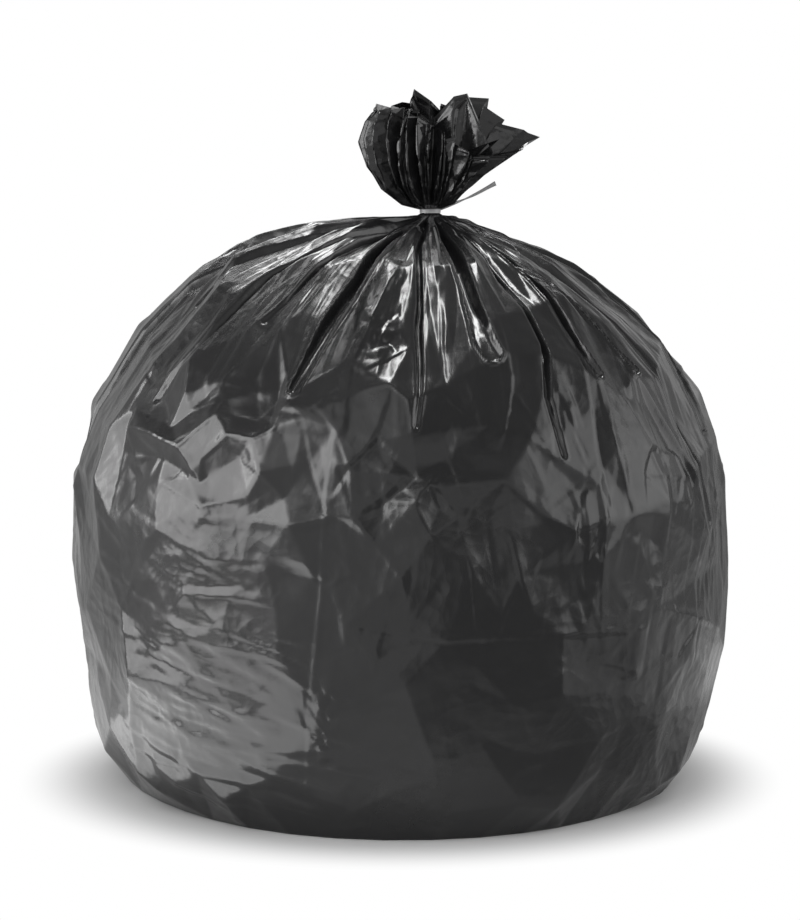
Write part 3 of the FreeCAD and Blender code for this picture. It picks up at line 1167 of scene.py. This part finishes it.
    def crumpled(self, points: Array, up: Array, chance: np.random.Generator) -> Array:
        """Crumples the loose film, more towards the mouth's edge and not at the flat horn.

        Args:
            points: The film's points, as rings x columns x 3.
            up: Each ring's share of the way up.
            chance: The source of the crumple.

        Returns:
            The crumpled points.
        """
        columns = np.linspace(-180, 180, points.shape[1], endpoint=False)
        rows = up * self.crumple_height
        lift = np.zeros(points.shape[:2])
        for gap, amount in self.crumple_nets:
            net = FacetNet(columns, rows, Facets(gap, Strength(amount, 0.0, 0.0), 1.0), self.crumple_scale)
            net.scatter(chance)
            lift += net.lifts()
        bearing = np.degrees(np.arctan2(points[..., 0] - NECK_X, -points[..., 1]))
        loose = 1 - self.flatness(bearing, self.horn_margin)
        lift = lift * smooth(up * self.crumple_rate)[:, None] * loose
        return points + outward(points) * lift[..., None]

    def build(self) -> bpy.types.Object:
        """Builds the ruffle as one mesh."""
        grid = self.shape()
        return film_mesh(self.name, grid, 0, grid.shape[1], cap=False)


class NodeMaker:
    """Places and joins nodes in one node tree."""

    def __init__(self, tree: bpy.types.NodeTree) -> None:
        """Keeps the tree to work on."""
        self.tree = tree

    def add(self, kind: str, inputs: dict | None = None, **values: object) -> bpy.types.Node:
        """Adds a node.

        Args:
            kind: The node's type name.
            inputs: Socket name or number to a value, or to a socket to join.
            values: Attributes of the node itself.

        Returns:
            The new node.
        """
        node = self.tree.nodes.new(kind)
        for name, value in values.items():
            setattr(node, name, value)
        for name, value in (inputs or {}).items():
            if isinstance(value, bpy.types.NodeSocket):
                self.tree.links.new(value, node.inputs[name])
            else:
                node.inputs[name].default_value = value
        return node

    def math(self, operation: str, first: object, second: object) -> bpy.types.NodeSocket:
        """Adds a Math node and returns its result."""
        return self.add("ShaderNodeMath", {0: first, 1: second}, operation=operation).outputs[0]

    def ramp(self, value: object, given: Span, made: tuple, **values: object) -> bpy.types.NodeSocket:
        """Adds a Map Range node.

        Args:
            value: The socket to read.
            given: The value's range.
            made: What the two ends of that range become, as numbers or sockets.
            values: Attributes of the node itself.

        Returns:
            The node's result.
        """
        inputs = {"Value": value, 1: given[0], 2: given[1], 3: made[0], 4: made[1]}
        return self.add("ShaderNodeMapRange", inputs, **values).outputs[0]

    def noise(self, place: object, scale: float, detail: float, **inputs: object) -> bpy.types.Node:
        """Adds a Noise Texture node."""
        return self.add("ShaderNodeTexNoise", {"Vector": place, "Scale": scale, "Detail": detail, **inputs})

    def shown(self, shader: bpy.types.Node, output: str = "ShaderNodeOutputMaterial") -> None:
        """Joins a shader to the tree's output."""
        self.add(output, {"Surface": shader.outputs[0]})


class GroupMaker(NodeMaker):
    """Places and joins nodes in a new node group with named inputs and outputs."""

    def __init__(self, name: str, inputs: dict[str, str], outputs: dict[str, str]) -> None:
        """Makes the group.

        Args:
            name: The group's name.
            inputs: Each input's name and socket type.
            outputs: Each output's name and socket type.
        """
        tree = bpy.data.node_groups.new(name, "ShaderNodeTree")
        for way, sockets in (("INPUT", inputs), ("OUTPUT", outputs)):
            for socket, kind in sockets.items():
                tree.interface.new_socket(name=socket, in_out=way, socket_type=kind)
        super().__init__(tree)
        self.given = self.add("NodeGroupInput").outputs
        self.result = self.add("NodeGroupOutput").inputs

    def put_out(self, name: str, value: bpy.types.NodeSocket) -> None:
        """Joins a value to one of the group's outputs."""
        self.tree.links.new(value, self.result[name])


def new_material(name: str) -> tuple[bpy.types.Material, NodeMaker]:
    """Makes a material without nodes.

    Args:
        name: The material's name.

    Returns:
        The material, and the maker of its nodes.
    """
    made = bpy.data.materials.new(name)
    made.use_nodes = True
    made.node_tree.nodes.clear()
    return made, NodeMaker(made.node_tree)


def film_wrinkles() -> bpy.types.NodeTree:
    """Builds the node group that gives the small wrinkles of thin film.

    Returns:
        The group, with inputs Scale and Crumple and outputs Height and Scuff.
    """
    inputs, outputs = ("Scale", "Crumple"), ("Height", "Scuff")
    number = "NodeSocketFloat"
    make = GroupMaker("film_wrinkles", dict.fromkeys(inputs, number), dict.fromkeys(outputs, number))
    place = make.add("ShaderNodeTexCoord").outputs["Object"]
    warp = make.noise(place, 11.0, 2.0).outputs["Color"]
    bend = (0.04, 0.04, 0.04)
    bent = make.add("ShaderNodeVectorMath", {0: warp, 1: bend}, operation="MULTIPLY").outputs[0]
    moved = make.add("ShaderNodeVectorMath", {0: place, 1: bent}, operation="ADD").outputs[0]
    scale = make.given["Scale"]
    large = make.add("ShaderNodeTexVoronoi", {"Vector": moved, "Scale": scale}, feature="F1")
    finer = make.math("MULTIPLY", scale, 2.3)
    small = make.add("ShaderNodeTexVoronoi", {"Vector": moved, "Scale": finer}, feature="F1")
    small_height = make.math("MULTIPLY", small.outputs["Distance"], 0.4)
    patch = make.noise(place, 7.0, 1.0).outputs["Fac"]
    where = make.ramp(patch, (0.4, 0.62), (0.25, 1.0))
    dimples = make.math("MULTIPLY", make.math("ADD", large.outputs["Distance"], small_height), where)
    lengthened = make.add("ShaderNodeMapping", {"Vector": moved, "Scale": (1.0, 1.0, 2.6)}).outputs[0]
    ridge = make.noise(lengthened, 9.0, 3.0, Roughness=0.5)
    ridge.noise_type = "RIDGED_MULTIFRACTAL"
    ridges = make.math("MULTIPLY", ridge.outputs["Fac"], make.given["Crumple"])
    make.put_out("Height", make.math("ADD", dimples, ridges))
    make.put_out("Scuff", make.noise(place, 14.0, 6.0, Roughness=0.65).outputs["Fac"])
    return make.tree


def studio_grey() -> bpy.types.NodeTree:
    """Builds the node group for how light the surroundings look in the film.

    Returns:
        The group, with the input Place and the output Grey: dim behind the bag and uneven in front of it.
    """
    make = GroupMaker("studio_grey", {"Place": "NodeSocketVector"}, {"Grey": "NodeSocketFloat"})
    place = make.given["Place"]
    x, y, z = make.add("ShaderNodeSeparateXYZ", {"Vector": place}).outputs
    behind = make.ramp(y, (0.0, 0.95), (0.0, 0.28))
    patchy = make.ramp(make.noise(place, 2.2, 1.0).outputs["Fac"], (0.4, 0.6), (0.8, 1.0))
    right = make.ramp(z, (-0.05, 0.15), (0.25, 0.8))
    left = make.ramp(y, (0.0, 0.6), (1.0, 0.6))
    front = make.math("MULTIPLY", patchy, make.ramp(x, (0.0, 0.2), (left, right)))
    overhead = make.ramp(z, (0.3, 0.7), (1.0, 0.4))
    make.put_out("Grey", make.math("MULTIPLY", make.math("MAXIMUM", behind, front), overhead))
    return make.tree


@dataclass(frozen=True)
class FilmFinish:
    """Thin black film: glossy, faintly scuffed, with fine wrinkles."""

    name: str
    base: Colour = (0.011, 0.011, 0.0115, 1.0)
    gloss: float = 0.2
    scuffed: float = 0.31
    scuff_range: Span = (0.35, 0.75)
    cell_scale: float = 48.0
    crumple: float = 0.1
    depth: float = 0.0009

    def material(self, wrinkles: bpy.types.NodeTree) -> bpy.types.Material:
        """Builds the material.

        Args:
            wrinkles: The group of small wrinkles.

        Returns:
            The film's material.
        """
        made, make = new_material(self.name)
        values = {"Scale": self.cell_scale, "Crumple": self.crumple}
        group = make.add("ShaderNodeGroup", values, node_tree=wrinkles)
        rough = make.ramp(group.outputs["Scuff"], self.scuff_range, (self.gloss, self.scuffed))
        relief = {"Height": group.outputs["Height"], "Strength": 1.0, "Distance": self.depth}
        surface = {
            "Base Color": self.base,
            "Roughness": rough,
            "Specular IOR Level": 0.5,
            "IOR": 1.5,
            "Normal": make.add("ShaderNodeBump", relief).outputs[0],
        }
        make.shown(make.add("ShaderNodeBsdfPrincipled", surface))
        return made


@dataclass(frozen=True)
class TieFinish:
    """Satin moulded plastic, pale grey."""

    name: str = "tie_plastic"
    base: Colour = (0.42, 0.42, 0.43, 1.0)
    paler: Colour = (0.5, 0.5, 0.5, 1.0)
    roughness: float = 0.38
    grain_depth: float = 0.0001

    def material(self) -> bpy.types.Material:
        """Builds the material, with the faint texture of a moulding.

        Returns:
            The tie's material.
        """
        made, make = new_material(self.name)
        place = make.add("ShaderNodeTexCoord").outputs["Object"]
        grain = make.noise(place, 900.0, 3.0).outputs["Fac"]
        tone = make.noise(place, 120.0, 2.0).outputs["Fac"]
        colour = make.add("ShaderNodeMix", {"Factor": tone, 6: self.base, 7: self.paler}, data_type="RGBA")
        relief = {"Height": grain, "Strength": 0.3, "Distance": self.grain_depth}
        surface = {
            "Base Color": colour.outputs[2],
            "Roughness": self.roughness,
            "Normal": make.add("ShaderNodeBump", relief).outputs[0],
        }
        make.shown(make.add("ShaderNodeBsdfPrincipled", surface))
        return made


@dataclass(frozen=True)
class Lamp:
    """One soft lamp of the studio, aimed at the bag."""

    name: str
    place: Point
    aim: Point
    size: Span
    radiance: float
    spin: float = 0.0
    reflected_only: bool = True

    def build(self) -> bpy.types.Object:
        """Builds the lamp.

        Returns:
            The lamp, in the scene.
        """
        data = bpy.data.lights.new(self.name, "AREA")
        data.shape = "RECTANGLE"
        data.size, data.size_y = self.size
        data.energy = self.radiance * math.pi * self.size[0] * self.size[1]
        made = bpy.data.objects.new(self.name, data)
        made.location = self.place
        way = Vector(self.aim) - Vector(self.place)
        turn = Quaternion((0, 0, 1), math.radians(self.spin))
        made.rotation_euler = (turn @ way.to_track_quat("-Z", "Y")).to_euler()
        made.visible_camera = False
        made.visible_diffuse = not self.reflected_only
        bpy.context.scene.collection.objects.link(made)
        return made


@dataclass
class Studio:
    """The plain floor, the lamps and the camera."""

    floor_size: float = 6.0
    paper: Colour = (0.8, 0.8, 0.8, 1.0)
    paper_glow: float = 0.02
    fade: Span = (0.24, 0.32)
    daylight: float = 0.85
    camera_place: Point = (0.0, -2.2, 0.51)
    pitch: float = 6.44
    lens: float = 105.0
    lamps: tuple[Lamp, ...] = (
        Lamp("left_softbox", (-1.2, -0.5, 0.62), (0.0, 0.0, 0.3), (1.2, 1.2), 3.8),
        Lamp("left_surround", (-1.4, -0.5, 0.7), (0.0, 0.0, 0.3), (2.0, 1.5), 0.6),
        Lamp("left_reflector", (-0.38, -0.28, 0.01), (-0.38, -0.28, 1.0), (0.4, 0.42), 2.6, spin=36.0),
        Lamp("right_softbox", (1.4, -0.3, 0.75), (0.0, 0.0, 0.3), (1.3, 1.4), 1.5),
        Lamp("right_reflector", (0.8, 0.0, 0.01), (0.8, 0.0, 1.0), (0.9, 0.8), 0.35),
        Lamp("left_strip", (-1.5, 0.02, 0.75), (0.0, 0.0, 0.35), (0.14, 0.8), 7.0),
        Lamp("left_front_box", (-0.9, -1.08, 0.85), (-0.08, -0.25, 0.3), (0.6, 0.5), 2.0),
        Lamp("back_box", (-0.42, 1.3, 1.25), (-0.08, -0.07, 0.44), (0.45, 0.4), 8.0),
        Lamp("top_strip", (-0.2, 0.7, 1.6), (0.0, 0.0, 0.4), (1.4, 0.12), 6.0),
        Lamp("overhead", (-0.08, 0.22, 1.75), (-0.01, -0.18, 0.39), (0.18, 0.9), 22.0),
        Lamp("soft_key", (-0.8, -1.6, 1.8), (0.0, 0.0, 0.2), (1.2, 1.2), 0.8, reflected_only=False),
    )

    @staticmethod
    def seen_white(make: NodeMaker, place: object, grey: bpy.types.NodeTree) -> tuple[object, object]:
        """Works out where a background is seen, and how white.

        Args:
            make: The maker of the background's nodes.
            place: The socket of the place or the way that is looked at.
            grey: The group for how light the surroundings look in the film.

        Returns:
            Whether the camera or a reflection looks, and the white to show it: full to the camera.
        """
        path = make.add("ShaderNodeLightPath").outputs
        reflected = make.math("MAXIMUM", path["Is Glossy Ray"], path["Is Transmission Ray"])
        seen = make.math("MAXIMUM", path["Is Camera Ray"], reflected)
        room = make.add("ShaderNodeGroup", {"Place": place}, node_tree=grey).outputs["Grey"]
        return seen, make.math("MAXIMUM", path["Is Camera Ray"], room)

    def floor(self, grey: bpy.types.NodeTree) -> bpy.types.Object:
        """Builds the floor, which fades into the white background away from the bag.

        Args:
            grey: The group for how light the surroundings look in the film.

        Returns:
            The floor.
        """
        far = self.floor_size
        mesh = bpy.data.meshes.new("floor")
        points = [(-far, -far, 0), (far, -far, 0), (far, far, 0), (-far, far, 0)]
        mesh.from_pydata(points, [], [(0, 1, 2, 3)])
        made = bpy.data.objects.new("floor", mesh)
        bpy.context.scene.collection.objects.link(made)
        paint, make = new_material("floor_paper")
        place = make.add("ShaderNodeTexCoord").outputs["Object"]
        seen, level = self.seen_white(make, place, grey)
        away = make.add("ShaderNodeVectorMath", {0: place}, operation="LENGTH").outputs["Value"]
        faded = make.ramp(away, self.fade, (0.0, 1.0), interpolation_type="SMOOTHSTEP")
        paper = make.add("ShaderNodeBsdfDiffuse", {"Color": self.paper}).outputs[0]
        white = make.add("ShaderNodeEmission", {"Color": level, "Strength": 1.0}).outputs[0]
        glow = make.add("ShaderNodeEmission", {"Color": WHITE, "Strength": self.paper_glow}).outputs[0]
        near = make.add("ShaderNodeAddShader", {0: paper, 1: glow}).outputs[0]
        blend = make.add("ShaderNodeMixShader", {0: faded, 1: near, 2: white}).outputs[0]
        make.shown(make.add("ShaderNodeMixShader", {0: seen, 1: paper, 2: blend}))
        mesh.materials.append(paint)
        return made

    def world(self, grey: bpy.types.NodeTree) -> None:
        """Sets the world: white to the camera, dim grey in the film, and plain light on everything.

        Args:
            grey: The group for how light the surroundings look in the film.
        """
        world = bpy.data.worlds.new("studio")
        world.use_nodes = True
        world.node_tree.nodes.clear()
        make = NodeMaker(world.node_tree)
        way = make.add("ShaderNodeTexCoord").outputs["Generated"]
        seen, level = self.seen_white(make, way, grey)
        light = make.add("ShaderNodeBackground", {"Color": WHITE, "Strength": self.daylight}).outputs[0]
        white = make.add("ShaderNodeBackground", {"Color": level, "Strength": 1.0}).outputs[0]
        make.shown(make.add("ShaderNodeMixShader", {0: seen, 1: light, 2: white}), "ShaderNodeOutputWorld")
        bpy.context.scene.world = world

    def camera(self) -> None:
        """Sets the camera where the photograph was taken from."""
        data = bpy.data.cameras.new("camera")
        data.sensor_fit = "VERTICAL"
        data.sensor_height = 36.0
        data.lens = self.lens
        data.clip_end = 50.0
        made = bpy.data.objects.new("camera", data)
        made.location = self.camera_place
        made.rotation_euler = (math.radians(90.0 - self.pitch), 0.0, 0.0)
        bpy.context.scene.collection.objects.link(made)
        bpy.context.scene.camera = made

    def build(self) -> None:
        """Builds the whole studio."""
        grey = studio_grey()
        self.floor(grey)
        self.world(grey)
        self.camera()
        for lamp in self.lamps:
            lamp.build()
        bpy.context.scene.view_settings.view_transform = "Standard"
        log.info("studio: %d lamps", len(self.lamps))


@dataclass
class FilmBag:
    """The film of the whole bag, which stands for the CAD bag."""

    filled: FilledFilm
    mouth: tuple[Ruffle, ...]
    drawn_finish: FilmFinish
    loose_finish: FilmFinish

    def build(self) -> None:
        """Builds and dresses every piece of film."""
        wrinkles = film_wrinkles()
        drawn = self.drawn_finish.material(wrinkles)
        loose = self.loose_finish.material(wrinkles)
        dressed = [(piece, drawn) for piece in self.filled.build()]
        dressed += [(ruffle.build(), loose) for ruffle in self.mouth]
        for piece, finish in dressed:
            piece.data.materials.append(finish)
            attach(piece, "root")
            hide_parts("bag")
            log.info("%s: %d faces", piece.name, len(piece.data.polygons))


@dataclass
class StrapTie:
    """The strap tie, which is shown as its CAD node."""

    finish: TieFinish

    def dress(self) -> None:
        """Gives the strap tie its moulded finish."""
        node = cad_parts["tie"]
        paint = self.finish.material()
        for slot in node.material_slots:
            slot.material = paint
        log.info("tie: %d faces", len(node.data.polygons))


def corners(box: tuple) -> list[list[float]]:
    """Returns a box's lowest and highest corners as plain lists."""
    return [[float(value) for value in corner] for corner in box]


def main() -> None:
    """Builds the scene in order."""
    logging.basicConfig(level=logging.INFO, format="%(name)s: %(message)s")
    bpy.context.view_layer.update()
    inner = Ruffle("film_inner", 9, scale=0.6, rim_ragged=4.0, seed=9)
    drawn = FilmFinish("film_drawn")
    loose = FilmFinish("film_loose", gloss=0.13, scuffed=0.24, cell_scale=80.0, depth=0.0008)
    FilmBag(FilledFilm(), (Ruffle(), inner), drawn, loose).build()
    StrapTie(TieFinish()).dress()
    Studio().build()


if __name__ == "__main__":
    main()
